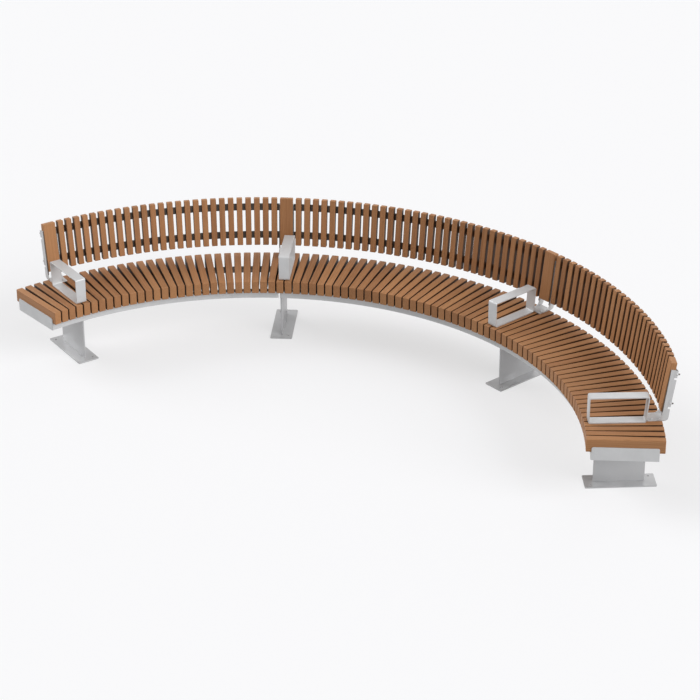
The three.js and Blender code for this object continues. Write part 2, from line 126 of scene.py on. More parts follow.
@dataclass(frozen=True)
class Plan:
    """The measures that several sub-assemblies share, and the places worked out from them."""

    slats_per_end_module: int = 29
    slats_per_middle_module: int = 28
    seat_height: float = 0.450
    seat_front_radius: float = 2.074
    seat_slat_length: float = 0.482
    seat_slat_width: float = 0.048
    seat_slat_depth: float = 0.089
    seat_slat_front_gap: float = 0.0086
    foot_thickness: float = 0.008
    leg_front_inset: float = 0.077
    leg_rear_inset: float = 0.081
    foot_front_projection: float = 0.057
    foot_rear_projection: float = 0.069
    rail_thickness: float = 0.005
    rail_edge: float = 0.0012
    plate_edge: float = 0.0008
    clearance: float = 0.0003
    arm_rear_inset: float = 0.102
    back_recline: float = math.radians(8.0)
    back_rise: float = 0.062
    back_over_seat: float = 0.015
    back_slat_length: float = 0.340
    back_slat_depth: float = 0.040
    board_width: float = 0.090

    @property
    def slat_count(self) -> int:
        """The number of seat slats."""
        return 2 * self.slats_per_end_module + self.slats_per_middle_module

    @property
    def seat_rear_radius(self) -> float:
        """The radius of the seat slats' rear ends."""
        return self.seat_front_radius + self.seat_slat_length

    @property
    def slat_underside(self) -> float:
        """The height of the seat slats' undersides."""
        return self.seat_height - self.seat_slat_depth

    @property
    def on_seat(self) -> float:
        """The height of what stands on the seat."""
        return self.seat_height + self.clearance

    @property
    def arm_rear_radius(self) -> float:
        """The radius of an armrest's rear, at its foot."""
        return self.seat_rear_radius - self.arm_rear_inset

    @property
    def leg_depth(self) -> float:
        """The length of a leg along the radius."""
        return self.seat_slat_length - self.leg_front_inset - self.leg_rear_inset

    @property
    def leg_radius(self) -> float:
        """The radius of a leg's middle."""
        return self.seat_front_radius + self.leg_front_inset + self.leg_depth / 2

    @property
    def foot_length(self) -> float:
        """The length of a foot plate along the radius."""
        return self.foot_front_projection + self.leg_depth + self.foot_rear_projection

    @property
    def foot_radius(self) -> float:
        """The radius of a foot plate's middle."""
        return self.leg_radius + (self.foot_rear_projection - self.foot_front_projection) / 2

    @property
    def pitch_angle(self) -> float:
        """The angle from one seat slat to the next."""
        return (self.seat_slat_width + self.seat_slat_front_gap) / self.seat_front_radius

    @property
    def back_foot_radius(self) -> float:
        """The radius of the back's front face at its foot."""
        return self.seat_rear_radius - self.back_over_seat

    @property
    def back_foot_height(self) -> float:
        """The height of the back's foot."""
        return self.seat_height + self.back_rise

    def slat_angle(self, number: float) -> float:
        """Find a seat slat's angle.

        Args:
            number: The slat's number, counted from 0 at the left end.

        Returns:
            The angle from the bench's middle, in radians.
        """
        return (number - (self.slat_count - 1) / 2) * self.pitch_angle

    def centre(self) -> Vector:
        """Find the centre of the bench's curve from a foot plate of the frame.

        Returns:
            The centre, on the floor.
        """
        low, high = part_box(f"foot_plate_{Stand.RIGHT_OUTER.label}")
        reach = self.foot_radius * math.cos(self.slat_angle(Stand.RIGHT_OUTER.slat))
        return Vector((0.0, (low.y + high.y) / 2 - reach, 0.0))

    def station(self, angle: float) -> Matrix:
        """Make the matrix of a station's own frame.

        Args:
            angle: The station's angle, in radians.

        Returns:
            The matrix from the station's frame to the bench's.
        """
        return Matrix.Translation(self.centre()) @ Matrix.Rotation(-angle, 4, "Z")

    def slope(self, angle: float) -> Matrix:
        """Make the matrix of the leaning back's frame at a station.

        Args:
            angle: The station's angle, in radians.

        Returns:
            The matrix from a frame with X across, Y into the back and Z up its slope.
        """
        foot = Matrix.Translation((0.0, self.back_foot_radius, self.back_foot_height))
        return self.station(angle) @ foot @ Matrix.Rotation(-self.back_recline, 4, "X")

    def on_slope(self, up: float, behind: float) -> Vector:
        """Find a point of the back's section.

        Args:
            up: The distance up the slope from the back's foot.
            behind: The distance behind the front face.

        Returns:
            The point in the plane x = 0 of a station's frame.
        """
        turned = Matrix.Rotation(-self.back_recline, 4, "X") @ Vector((0.0, behind, up))
        return turned + Vector((0.0, self.back_foot_radius, self.back_foot_height))


@dataclass(frozen=True)
class Pattern:
    """Noise with its own waves per metre along each axis, and a shift that sets it apart."""

    waves: Triple
    detail: float
    shift: float = 0.0


class NodeBoard:
    """The node tree of a material or of the world, filled from left to right."""

    def __init__(self, owner: bpy.types.Material | bpy.types.World) -> None:
        """Start with an empty tree.

        Args:
            owner: The new material or world.
        """
        self.owner = owner
        owner.use_nodes = True
        self.nodes = owner.node_tree.nodes
        self.links = owner.node_tree.links
        self.nodes.clear()

    def add(self, kind: str, **values: object) -> bpy.types.Node:
        """Add a node.

        Args:
            kind: The node's Blender type, without "ShaderNode".
            **values: Settings by attribute name, or inputs by name with "_" for spaces.

        Returns:
            The node.
        """
        node = self.nodes.new("ShaderNode" + kind)
        for key, value in values.items():
            if hasattr(node, key):
                setattr(node, key, value)
            else:
                node.inputs[key.replace("_", " ")].default_value = value
        return node

    def link(self, source: bpy.types.NodeSocket, target: bpy.types.NodeSocket) -> None:
        """Join an output to an input.

        Args:
            source: The output.
            target: The input.
        """
        self.links.new(source, target)

    def noise(self, vector: bpy.types.NodeSocket, pattern: Pattern) -> bpy.types.NodeSocket:
        """Add noise.

        Args:
            vector: The coordinates.
            pattern: The noise's pattern.

        Returns:
            The noise's value.
        """
        mapping = self.add("Mapping", Scale=pattern.waves, Location=[pattern.shift] * 3)
        self.link(vector, mapping.inputs["Vector"])
        noise = self.add("TexNoise", Scale=1.0, Detail=pattern.detail, Roughness=NOISE_ROUGHNESS)
        self.link(mapping.outputs["Vector"], noise.inputs["Vector"])
        return noise.outputs["Fac"]

    def spread(
        self, value: bpy.types.NodeSocket, span: Span, becomes: Span
    ) -> bpy.types.NodeSocket:
        """Stretch a value from one span to another, and hold it at the ends.

        Args:
            value: The value.
            span: The low and high end of the span it comes in.
            becomes: What the low and the high end become.

        Returns:
            The stretched value.
        """
        node = self.add(
            "MapRange",
            clamp=True,
            From_Min=span[0],
            From_Max=span[1],
            To_Min=becomes[0],
            To_Max=becomes[1],
        )
        self.link(value, node.inputs["Value"])
        return node.outputs["Result"]

    def join(
        self, operation: str, first: bpy.types.NodeSocket, *others: bpy.types.NodeSocket
    ) -> bpy.types.NodeSocket:
        """Work some values into one, from the first to the last.

        Args:
            operation: Blender's name for the operation on each pair.
            first: The first value.
            *others: The rest.

        Returns:
            The result.
        """
        result = first
        for other in others:
            node = self.add("Math", operation=operation)
            self.link(result, node.inputs[0])
            self.link(other, node.inputs[1])
            result = node.outputs["Value"]
        return result

    def mix(
        self,
        share: bpy.types.NodeSocket,
        first: bpy.types.NodeSocket | Colour,
        second: bpy.types.NodeSocket | Colour,
    ) -> bpy.types.NodeSocket:
        """Mix two colours.

        Args:
            share: How much of the second shows.
            first: The first colour.
            second: The second colour.

        Returns:
            The mixed colour.
        """
        node = self.add("Mix", data_type="RGBA")
        self.link(share, node.inputs["Factor"])
        for index, colour in ((MIX_FIRST, first), (MIX_SECOND, second)):
            if isinstance(colour, tuple):
                node.inputs[index].default_value = (*colour, 1.0)
            else:
                self.link(colour, node.inputs[index])
        return node.outputs[MIX_RESULT]

    def seen(self) -> bpy.types.NodeSocket:
        """Tell rays by which a surface is seen from those that light the bench.

        Returns:
            1 for a ray from the camera, a gloss or a clear surface, and 0 for others.
        """
        path = self.add("LightPath")
        rays = ("Is Camera Ray", "Is Glossy Ray", "Is Transmission Ray")
        return self.join("MAXIMUM", *[path.outputs[ray] for ray in rays])

    def close(self, shader: bpy.types.Node) -> bpy.types.Material | bpy.types.World:
        """Join the shader to the output.

        Args:
            shader: The last shader node.

        Returns:
            The finished material or world.
        """
        lit = isinstance(self.owner, bpy.types.World)
        output = self.add("OutputWorld" if lit else "OutputMaterial")
        self.link(shader.outputs[0], output.inputs["Surface"])
        return self.owner


@dataclass(frozen=True)
class TimberFinish:
    """Oiled hardwood: rings and pores follow each timber's length, and tone varies by timber.

    The sides that face a narrow gap are mixed towards near black: this is painted shade.
    """

    name: str = "oiled_hardwood"
    pale: Colour = (0.434, 0.213, 0.091)
    deep: Colour = (0.262, 0.113, 0.045)
    reddish: Colour = (0.383, 0.156, 0.064)
    # Painted shade: the near-black colour that the sides facing a narrow gap are mixed towards.
    painted_gap_shade: Colour = (0.019, 0.009, 0.005)
    ring_spacing: float = 0.0065
    ring_tilt: Triple = (0.0, 0.022, 0.035)
    ring_distortion: float = 3.2
    ring_detail: float = 3.0
    ring_detail_scale: float = 0.25
    ring_tone: float = 0.16
    streaks: Pattern = Pattern((2.2, 150.0, 150.0), detail=5.0)
    streak_tone: float = 0.3
    clouds: Pattern = Pattern((1.1, 14.0, 14.0), detail=3.0, shift=7.3)
    cloud_tone: float = 0.14
    tint_tones: Span = (0.26, 0.86)
    reddish_clouds: Span = (0.45, 0.75)
    reddish_share: float = 0.35
    pores: Pattern = Pattern((42.0, 1500.0, 1500.0), detail=2.0, shift=3.1)
    pore_peaks: Span = (0.58, 0.7)
    pore_share: float = 0.42
    roughness: Span = (0.46, 0.66)
    gloss: float = 0.33
    relief_span: Span = (0.2, 0.8)
    relief_share: float = 0.35
    relief_strength: float = 0.6
    pore_depth: float = 0.0002

    def material(self) -> bpy.types.Material:
        """Build the material from each timber's grain, tint and gap attributes; the gap attribute
        paints shade into the sides that face a narrow gap.

        Returns:
            The material.
        """
        board = NodeBoard(bpy.data.materials.new(self.name))
        grain = board.add("Attribute", attribute_name="grain").outputs["Vector"]
        streaks = board.noise(grain, self.streaks)
        clouds = board.noise(grain, self.clouds)
        pores = board.noise(grain, self.pores)
        pore_mark = board.spread(pores, self.pore_peaks, (0.0, self.pore_share))
        wood = board.mix(self._tone(board, grain, streaks, clouds), self.deep, self.pale)
        warm = board.spread(clouds, self.reddish_clouds, (0.0, self.reddish_share))
        wood = board.mix(warm, wood, self.reddish)
        wood = board.mix(pore_mark, wood, self.deep)
        # Painted shade: the gap attribute mixes the sides that face a narrow gap towards near
        # black.
        gap = board.add("Attribute", attribute_name="gap").outputs["Fac"]
        wood = board.mix(gap, wood, self.painted_gap_shade)
        shine = board.spread(streaks, NOISE_SPAN, self.roughness[::-1])
        ridges = board.spread(streaks, self.relief_span, (0.0, self.relief_share))
        bump = board.add("Bump", Strength=self.relief_strength, Distance=self.pore_depth)
        board.link(board.join("SUBTRACT", ridges, pore_mark), bump.inputs["Height"])
        shader = board.add("BsdfPrincipled", Specular_IOR_Level=self.gloss)
        board.link(wood, shader.inputs["Base Color"])
        board.link(shine, shader.inputs["Roughness"])
        board.link(bump.outputs["Normal"], shader.inputs["Normal"])
        return board.close(shader)

    def _tone(
        self,
        board: NodeBoard,
        grain: bpy.types.NodeSocket,
        streaks: bpy.types.NodeSocket,
        clouds: bpy.types.NodeSocket,
    ) -> bpy.types.NodeSocket:
        """Add up the rings, streaks and clouds of a timber and its own tint.

        Args:
            board: The material's nodes.
            grain: The timber's own coordinates.
            streaks: The noise along its length.
            clouds: The broad noise.

        Returns:
            The tone, from deep at 0 to pale at 1.
        """
        tilted = board.add("Mapping", Rotation=self.ring_tilt)
        board.link(grain, tilted.inputs["Vector"])
        rings = board.add(
            "TexWave",
            wave_type="RINGS",
            rings_direction="X",
            wave_profile="SIN",
            Scale=WAVE_BAND / self.ring_spacing,
            Distortion=self.ring_distortion,
            Detail=self.ring_detail,
            Detail_Scale=self.ring_detail_scale,
        )
        board.link(tilted.outputs["Vector"], rings.inputs["Vector"])
        tint = board.add("Attribute", attribute_name="tint").outputs["Fac"]
        return board.join(
            "ADD",
            board.spread(rings.outputs["Fac"], WHOLE_SPAN, (-self.ring_tone, self.ring_tone)),
            board.spread(streaks, NOISE_SPAN, (-self.streak_tone, self.streak_tone)),
            board.spread(clouds, NOISE_SPAN, (-self.cloud_tone, self.cloud_tone)),
            board.spread(tint, WHOLE_SPAN, self.tint_tones),
        )


@dataclass(frozen=True)
class SteelFinish:
    """Steel with fine brushing along each piece and a slight cloud in its tone."""

    name: str
    base: Colour
    metallic: float
    roughness: Span
    brushing: Pattern = Pattern((12.0, 1800.0, 1800.0), detail=2.0)
    brushing_depth: float = 0.00006
    brushing_strength: float = 0.35
    brushing_share: float = 0.3
    clouds: Pattern = Pattern((9.0, 9.0, 9.0), detail=4.0, shift=5.7)
    cloud_share: float = 0.7
    cloud: float = 0.06

    def material(self) -> bpy.types.Material:
        """Build the material from each piece's grain attribute.

        Returns:
            The material.
        """
        board = NodeBoard(bpy.data.materials.new(self.name))
        grain = board.add("Attribute", attribute_name="grain").outputs["Vector"]
        brushing = board.noise(grain, self.brushing)
        clouds = board.noise(grain, self.clouds)
        darker = tuple(part * (1.0 - 2.0 * self.cloud) for part in self.base)
        tone = board.join(
            "ADD",
            board.spread(clouds, NOISE_SPAN, (0.0, self.cloud_share)),
            board.spread(brushing, NOISE_SPAN, (0.0, self.brushing_share)),
        )
        shine = board.spread(clouds, NOISE_SPAN, self.roughness[::-1])
        bump = board.add("Bump", Strength=self.brushing_strength, Distance=self.brushing_depth)
        board.link(brushing, bump.inputs["Height"])
        shader = board.add("BsdfPrincipled", Metallic=self.metallic)
        board.link(board.mix(tone, darker, self.base), shader.inputs["Base Color"])
        board.link(shine, shader.inputs["Roughness"])
        board.link(bump.outputs["Normal"], shader.inputs["Normal"])
        return board.close(shader)


SATIN = SteelFinish("satin_steel", (0.610, 0.614, 0.622), metallic=0.2, roughness=(0.32, 0.42))
# The dark steel is the own colour of the clamp sets and stud ends, and painted shade on the seat's
# rear rails, the back's flat rails and the strips at the brackets' front edges.
DARK = SteelFinish(
    "dark_steel", (0.160, 0.142, 0.129), metallic=0.35, roughness=(0.5, 0.62), cloud=0.12
)
# Smoother steel for the legs' feet and blades. Its base is darker than the satin steel's as painted
# shade, for the parts that stand under the seat.
SMOOTH_SHADED = SteelFinish(
    "leg_steel",
    (0.50, 0.503, 0.512),
    metallic=0.35,
    roughness=(0.27, 0.36),
    cloud=0.03,
    brushing_depth=0.00001,
)


@dataclass
class Finishes:
    """The bench's finishes, each built once."""

    timber: bpy.types.Material = field(default_factory=lambda: TimberFinish().material())
    satin: bpy.types.Material = field(default_factory=SATIN.material)
    dark: bpy.types.Material = field(default_factory=DARK.material)
    leg: bpy.types.Material = field(default_factory=SMOOTH_SHADED.material)

    def of(self, slot: Slot) -> bpy.types.Material:
        """Give the material of a slot.

        Args:
            slot: The slot.

        Returns:
            Its usual material.
        """
        return {
            Slot.TIMBER: self.timber,
            Slot.SATIN_STEEL: self.satin,
            Slot.DARK_STEEL: self.dark,
        }[slot]


@dataclass
class Shop:
    """Turns shaped meshes into finished pieces of the bench, and keeps a list of them."""

    plan: Plan
    finishes: Finishes
    edge_segments: int = 2
    sharp_angle: float = math.radians(35.0)
    face_weight: int = 80
    flat_side: float = 1e-5
    shift_along: Span = (-40.0, 40.0)
    shift_beside: Span = (0.03, 0.16)
    shift_below: Span = (-0.14, -0.02)
    tint_gathering: float = 2.2
    chance: random.Random = field(default_factory=lambda: random.Random(SEED))
    made: list[bpy.types.Object] = field(default_factory=list)

    def finish(
        self,
        shape: bmesh.types.BMesh,
        name: str,
        slot: Slot,
        stands_for: Sequence[str],
        places: Sequence[Matrix],
        edge: float = 0.0,
        gap: Span = (0.0, 0.0),
        dress: bpy.types.Material | None = None,
        tint: float | None = None,
    ) -> None:
        """Finish one piece, or several alike as one object.

        Args:
            shape: The piece in its own frame, with its length along X.
            name: The object's name.
            slot: The material slot.
            stands_for: The frame's nodes that the piece stands for.
            places: The matrix of each copy, from its own frame to the bench's.
            edge: The radius of the Bevel modifier's edges, or 0 for none.
            gap: How much painted shade darkens a timber's sides at their upper and lower edges,
                from 0 to 1.
            dress: The material, where it isn't the slot's usual one.
            tint: A timber's tone from deep, 0, to pale, 1, or None for one by chance.
        """
        template = bpy.data.meshes.new(name + "_template")
        for face in shape.faces:
            face.smooth = True
        shape.to_mesh(template)
        own = np.array([vertex.co for vertex in shape.verts], float).reshape(-1, 3)
        shape.free()
        whole = bmesh.new()
        for place in places:
            before = len(whole.verts)
            whole.from_mesh(template)
            whole.verts.ensure_lookup_table()
            bmesh.ops.transform(whole, matrix=place, verts=whole.verts[before:])
        mesh = bpy.data.meshes.new(name)
        whole.to_mesh(mesh)
        whole.free()
        bpy.data.meshes.remove(template)
        self._mark_grain(mesh, own, len(places), tint)
        self._mark_gap_shade(mesh, own, len(places), gap)
        mesh.materials.append(dress or self.finishes.of(slot))
        piece = bring_in(name, mesh)
        if edge > 0.0:
            bevel = piece.modifiers.new("edges", "BEVEL")
            bevel.width = edge
            bevel.segments = self.edge_segments
            bevel.limit_method = "ANGLE"
            bevel.angle_limit = self.sharp_angle
            bevel.harden_normals = True
        else:
            piece.modifiers.new("faces", "WEIGHTED_NORMAL").weight = self.face_weight
        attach(piece, BODY)
        if stands_for:
            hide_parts(*stands_for)
        self.made.append(piece)
        LOG.info("%s: %d copies, %d faces", name, len(places), len(mesh.polygons))

    def _mark_gap_shade(self, mesh: bpy.types.Mesh, own: np.ndarray, copies: int, gap: Span) -> None:
        """Write how much painted shade darkens each vertex on a side that faces a gap.

        Args:
            mesh: The piece's mesh.
            own: The vertices' places in the piece's own frame.
            copies: The number of copies in the mesh.
            gap: How much painted shade darkens the sides at their upper and lower edges.
        """
        beside = np.abs(own[:, 1]) > np.abs(own[:, 1]).max() - self.flat_side
        dark = np.where(own[:, 2] > 0.0, gap[0], gap[1]) * beside
        values = mesh.attributes.new("gap", "FLOAT", "POINT")
        values.data.foreach_set("value", np.tile(dark, copies).astype(np.float32))

    def _mark_grain(
        self, mesh: bpy.types.Mesh, own: np.ndarray, copies: int, chosen: float | None
    ) -> None:
        """Write each vertex's place in its own piece, moved by chance, and each copy's tint.

        Args:
            mesh: The piece's mesh.
            own: The vertices' places in the piece's own frame.
            copies: The number of copies in the mesh.
            chosen: The tint of every copy, or None for one by chance.
        """
        count = len(own)
        grain = np.tile(own, (copies, 1))
        tint = np.zeros(copies * count)
        for copy in range(copies):
            rows = slice(copy * count, (copy + 1) * count)
            grain[rows] += (
                self.chance.uniform(*self.shift_along),
                self.chance.uniform(*self.shift_beside) * self.chance.choice((-1.0, 1.0)),
                self.chance.uniform(*self.shift_below),
            )
            if chosen is None:
                tint[rows] = self.chance.betavariate(self.tint_gathering, self.tint_gathering)
            else:
                tint[rows] = chosen
        vectors = mesh.attributes.new("grain", "FLOAT_VECTOR", "POINT")
        vectors.data.foreach_set("vector", grain.astype(np.float32).ravel())
        values = mesh.attributes.new("tint", "FLOAT", "POINT")
        values.data.foreach_set("value", tint.astype(np.float32))


def bring_in(name: str, data: bpy.types.ID) -> bpy.types.Object:
    """Put a new object into the scene.

    Args:
        name: The object's name.
        data: Its mesh, light or camera.

    Returns:
        The object.
    """
    item = bpy.data.objects.new(name, data)
    bpy.context.scene.collection.objects.link(item)
    return item


def block(length: float, width: float, height: float) -> bmesh.types.BMesh:
    """Shape a plain block.

    Args:
        length: Its length, along X.
        width: Its width, along Y.
        height: Its height, along Z.

    Returns:
        The block, centred on the origin.
    """
    shape = bmesh.new()
    bmesh.ops.create_cube(shape, size=1.0, matrix=Matrix.Diagonal((length, width, height, 1.0)))
    return shape


def ease(
    shape: bmesh.types.BMesh,
    parts: Sequence[bmesh.types.BMEdge | bmesh.types.BMVert],
    affect: str,
    radius: float,
    segments: int,
) -> None:
    """Round some of a shape's edges or corners.

    Args:
        shape: The shape.
        parts: The edges or corners.
        affect: Which of the two they are, "EDGES" or "VERTICES".
        radius: The radius.
        segments: The faces in each rounding.
    """
    bmesh.ops.bevel(
        shape,
        geom=parts,
        offset=radius,
        offset_type="OFFSET",
        affect=affect,
        segments=segments,
        profile=0.5,
        material=-1,
    )


def timber(length: float, width: float, depth: float, radius: float) -> bmesh.types.BMesh:
    """Shape a planed timber with eased edges.

    Args:
        length: Its length, along X.
        width: Its width, along Y.
        depth: Its depth, along Z.
        radius: The radius of its edges.

    Returns:
        The timber, centred on the origin.
    """
    shape = block(length, width, depth)
    ease(shape, shape.edges[:], "EDGES", radius, NARROW_SEGMENTS)
    return shape


def rectangle(half: float, front: float, rear: float, height: float) -> list[Vector]:
    """List the corners of a level rectangle that lies centred across a station.

    Args:
        half: Half its width.
        front: The radius of its front edge.
        rear: The radius of its rear edge.
        height: Its height above the floor.

    Returns:
        The corners, in order.
    """
    return [
        Vector((-half, front, height)),
        Vector((half, front, height)),
        Vector((half, rear, height)),
        Vector((-half, rear, height)),
    ]


def outline(
    corners: Sequence[Vector],
    rounded: dict[float, Sequence[int]],
    segments: int = CORNER_SEGMENTS,
) -> bmesh.types.BMesh:
    """Shape a flat face whose corners are rounded.

    Args:
        corners: The corners, in order.
        rounded: The numbers of the corners to round, by radius. The rest stay sharp.
        segments: The faces in each rounded corner.

    Returns:
        The face.
    """
    shape = bmesh.new()
    points = [shape.verts.new(corner) for corner in corners]
    shape.faces.new(points)
    for radius, numbers in rounded.items():
        ease(shape, [points[number] for number in numbers], "VERTICES", radius, segments)
    return shape


def thicken(shape: bmesh.types.BMesh, direction: Vector) -> bmesh.types.BMesh:
    """Extrude a flat shape into a plate.

    Args:
        shape: The flat shape.
        direction: How far and which way it grows.

    Returns:
        The same shape, now closed.
    """
    grown = bmesh.ops.extrude_face_region(shape, geom=shape.faces[:])
    moved = [item for item in grown["geom"] if isinstance(item, bmesh.types.BMVert)]
    bmesh.ops.translate(shape, vec=direction, verts=moved)
    bmesh.ops.recalc_face_normals(shape, faces=shape.faces[:])
    return shape


def turned(profile: Profile, steps: int) -> bmesh.types.BMesh:
    """Turn a profile round the Z axis.

    Args:
        profile: Pairs of radius and height, which start and end on the axis.
        steps: The faces in one turn.

    Returns:
        The closed shape.
    """
    shape = bmesh.new()
    points = [shape.verts.new((radius, 0.0, height)) for radius, height in profile]
    edges = [shape.edges.new(pair) for pair in zip(points, points[1:])]
    bmesh.ops.spin(
        shape,
        geom=points + edges,
        cent=(0.0, 0.0, 0.0),
        axis=(0.0, 0.0, 1.0),
        angle=math.tau,
        steps=steps,
        use_merge=True,
    )
    bmesh.ops.remove_doubles(shape, verts=shape.verts[:], dist=SAME_PLACE)
    bmesh.ops.recalc_face_normals(shape, faces=shape.faces[:])
    return shape


def merged(first: bmesh.types.BMesh, *others: bmesh.types.BMesh) -> bmesh.types.BMesh:
    """Put several shapes together.

    Args:
        first: The shape that takes in the rest.
        *others: The rest, which are freed.

    Returns:
        The first shape.
    """
    for other in others:
        carrier = bpy.data.meshes.new("carrier")
        other.to_mesh(carrier)
        other.free()
        first.from_mesh(carrier)
        bpy.data.meshes.remove(carrier)
    return first


def swept(section: bmesh.types.BMesh, start: float, end: float, steps: int) -> bmesh.types.BMesh:
    """Spin a section round the curve's centre.

    Args:
        section: A face in the plane x = 0, in radius and height.
        start: The angle of one end.
        end: The angle of the other.
        steps: The number of segments.

    Returns:
        The closed bar.
    """
    turn = Matrix.Rotation(-start, 4, "Z")
    bmesh.ops.transform(section, matrix=turn, verts=section.verts[:])
    bmesh.ops.spin(
        section,
        geom=section.verts[:] + section.edges[:] + section.faces[:],
        cent=(0.0, 0.0, 0.0),
        axis=(0.0, 0.0, 1.0),
        angle=-(end - start),
        steps=steps,
        use_merge=False,
    )
    bmesh.ops.recalc_face_normals(section, faces=section.faces[:])
    return section


@dataclass
class Seat:
    """The seat: three modules of radial slats on two curved angle rails, and the end plates."""

    shop: Shop
    edge_radius: float = 0.0045
    # Painted shade on the slats' sides where they face the gaps; the end slats take very little.
    gap_darkness: Span = (0.91, 1.0)
    end_darkness: Span = (0.05, 0.12)
    rail_height: float = 0.049
    rail_flange: float = 0.044
    rail_bend: float = 0.004
    rail_steps: int = 64
    front_rail_setback: float = 0.030
    rear_rail_setback: float = 0.037
    rear_gap_outside_leg: float = 0.012
    rear_gap_inside_leg: float = 0.036
    front_joint_outside_leg: float = 0.0085
    front_joint_width: float = 0.009
    rail_end_inset: float = 0.005
    end_plate_front_inset: float = 0.0002
    end_plate_rear_overlap: float = 0.002
    end_plate_rise: float = 0.036
    end_plate_drop: float = 0.004
    end_plate_top_corner: float = 0.012
    end_plate_bottom_corner: float = 0.003

    @property
    def front_rail_radius(self) -> float:
        """The radius of the front rail's front face."""
        return self.shop.plan.seat_front_radius + self.front_rail_setback

    @property
    def rear_rail_radius(self) -> float:
        """The radius of the rear rail's rear face."""
        return self.shop.plan.seat_rear_radius - self.rear_rail_setback

    def build(self) -> None:
        """Build every piece of the seat."""
        plan = self.shop.plan
        ends, middle = plan.slats_per_end_module, plan.slats_per_middle_module
        first = {Side.LEFT: 0, Side.MIDDLE: ends, Side.RIGHT: ends + middle}
        count = {Side.LEFT: ends, Side.MIDDLE: middle, Side.RIGHT: ends}
        for side in Side:
            self._slats(side, first[side], count[side])
            self._rail(side, f"front_angle_{side.value}", f"front_rail_{side.value}", True)
            self._rail(side, f"rear_angle_{side.value}", f"seat_slats_{side.value}", False)
        self._end_plate("left", plan.slat_angle(0), -1.0)
        self._end_plate("right", plan.slat_angle(plan.slat_count - 1), 1.0)

    def _slats(self, side: Side, first: int, count: int) -> None:
        """Lay one module's slats. The bench's two end slats are pieces of their own, with little
        painted shade on their sides.

        Args:
            side: The module.
            first: The number of its first slat.
            count: The number of its slats.
        """
        outermost = {Side.LEFT: 0, Side.RIGHT: self.shop.plan.slat_count - 1}.get(side)
        inner = [number for number in range(first, first + count) if number != outermost]
        self._lay(f"seat_timbers_{side.value}", side, inner, self.gap_darkness)
        if outermost is not None:
            self._lay(f"end_timber_{side.value}", side, [outermost], self.end_darkness)

    def _lay(self, name: str, side: Side, numbers: Sequence[int], gap: Span) -> None:
        """Lay some slats on edge along the radius.

        Args:
            name: The piece's name.
            side: The module.
            numbers: The slats' numbers.
            gap: How much painted shade darkens their sides at their upper and lower edges.
        """
        plan = self.shop.plan
        radius = plan.seat_front_radius + plan.seat_slat_length / 2
        height = plan.seat_height - plan.seat_slat_depth / 2
        own = Matrix.Translation((0.0, radius, height)) @ Matrix.Rotation(math.pi / 2, 4, "Z")
        self.shop.finish(
            timber(
                plan.seat_slat_length, plan.seat_slat_width, plan.seat_slat_depth, self.edge_radius
            ),
            name,
            Slot.TIMBER,
            [f"seat_slats_{side.value}"],
            [plan.station(plan.slat_angle(number)) @ own for number in numbers],
            gap=gap,
        )

    def _ends(self, side: Side, front: bool) -> Span:
        """Find the angles between which a module's front or rear rail runs.

        The front rails meet at the right inner leg, and stand apart at the left one.

        Args:
            side: The module.
            front: Whether it is the front rail.

        Returns:
            The angles of the rail's two ends.
        """
        plan = self.shop.plan
        last = plan.slat_angle(plan.slat_count - 1)
        half = plan.seat_slat_width / 2
        if front:
            outer = last + (half + self.rail_end_inset) / self.front_rail_radius
            inside_by = self.front_joint_width / 2 - self.front_joint_outside_leg
            outside_by = self.front_joint_width / 2 + self.front_joint_outside_leg
        else:
            outer = last + (half - self.rail_end_inset) / self.rear_rail_radius
            inside_by, outside_by = self.rear_gap_inside_leg, self.rear_gap_outside_leg
        leg = plan.slat_angle(Stand.RIGHT_INNER.slat)
        outside = leg + outside_by / self.front_rail_radius
        inside = leg - inside_by / self.front_rail_radius
        joint = 2 * plan.clearance / self.front_rail_radius
        return {
            Side.LEFT: (-outer, -outside),
            Side.MIDDLE: (-inside, inside),
            Side.RIGHT: (inside + joint if front else outside, outer),
        }[side]

    def _rail(self, side: Side, name: str, node: str, front: bool) -> None:
        """Bend one angle rail under a module's slats.

        Args:
            side: The module.
            name: The piece's name.
            node: The frame's node that it stands for.
            front: Whether it is the front rail. The rear one takes the dark steel, which paints in
                its shade under the slats.
        """
        plan = self.shop.plan
        thick = plan.rail_thickness
        top = plan.slat_underside - plan.clearance
        bottom = top - self.rail_height
        web = self.front_rail_radius if front else self.rear_rail_radius
        inward = 1.0 if front else -1.0
        corners = [
            Vector((0.0, web, bottom)),
            Vector((0.0, web + inward * thick, bottom)),
            Vector((0.0, web + inward * thick, top - thick)),
            Vector((0.0, web + inward * self.rail_flange, top - thick)),
            Vector((0.0, web + inward * self.rail_flange, top)),
            Vector((0.0, web, top)),
        ]
        start, end = self._ends(side, front)
        rounded = {self.rail_bend: [5], plan.rail_edge: [0, 1, 3, 4]}
        section = outline(corners, rounded, NARROW_SEGMENTS)
        shape = swept(section, start, end, self.rail_steps)
        # The rear rail takes the dark steel as painted shade, for the shade it stands in under the
        # slats.
        slot = Slot.SATIN_STEEL if front else Slot.DARK_STEEL
        self.shop.finish(shape, name, slot, [node], [Matrix.Translation(plan.centre())])

